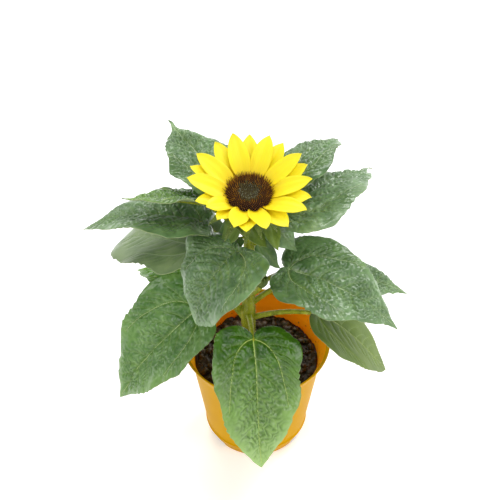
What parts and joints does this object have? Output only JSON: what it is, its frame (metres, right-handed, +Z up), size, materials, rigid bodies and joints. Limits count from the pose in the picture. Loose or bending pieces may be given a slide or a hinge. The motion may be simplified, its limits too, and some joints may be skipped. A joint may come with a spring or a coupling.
{
  "type": "potted dwarf sunflower plant",
  "caption": "Dwarf sunflower in a round tapered orange plastic pot: a short upright stem, broad heart-shaped leaves on stalks and one yellow flower head with a dark centre.",
  "frame": {"origin": "middle of the pot's flat underside", "axes": "+Z up, -Y towards the front, where the flower nods, +X to the plant's right as seen from the front"},
  "size_m": [0.2536, 0.2179, 0.2829],
  "materials": {
    "pot": "satin",
    "soil": "matte",
    "stem": "satin",
    "leaf": "satin",
    "calyx": "matte",
    "petal": "satin",
    "disc": "matte"
  },
  "bodies": {
    "root": {"pot": "pot", "soil": "soil", "stem": "stem", "stalk_right_low": "stem", "leaf_right_low": "leaf", "stalk_front_low": "stem", "leaf_front_low": "leaf", "stalk_left_low": "stem", "leaf_left_low": "leaf", "stalk_back_left_low": "stem", "leaf_back_left_low": "leaf", "stalk_right_front": "stem", "leaf_right_front": "leaf", "stalk_right_back": "stem", "leaf_right_back": "leaf", "stalk_left_under": "stem", "leaf_left_under": "leaf", "stalk_left": "stem", "leaf_left": "leaf", "stalk_front": "stem", "leaf_front": "leaf", "stalk_back": "stem", "leaf_back": "leaf", "stalk_right": "stem", "leaf_right": "leaf", "stalk_left_back": "stem", "leaf_left_back": "leaf", "stalk_back_left": "stem", "leaf_back_left": "leaf", "stalk_back_right": "stem", "leaf_back_right": "leaf", "young_leaf_front": "leaf", "young_leaf_right": "leaf", "side_bud": "calyx", "calyx": "calyx", "flower_disc": "disc", "petal_01": "petal", "petal_02": "petal", "petal_03": "petal", "petal_04": "petal", "petal_05": "petal", "petal_06": "petal", "petal_07": "petal", "petal_08": "petal", "petal_09": "petal", "petal_10": "petal", "petal_11": "petal", "petal_12": "petal", "petal_13": "petal", "petal_14": "petal", "petal_15": "petal", "petal_16": "petal", "petal_17": "petal", "petal_18": "petal", "petal_19": "petal", "petal_20": "petal"}
  },
  "joints": []
}
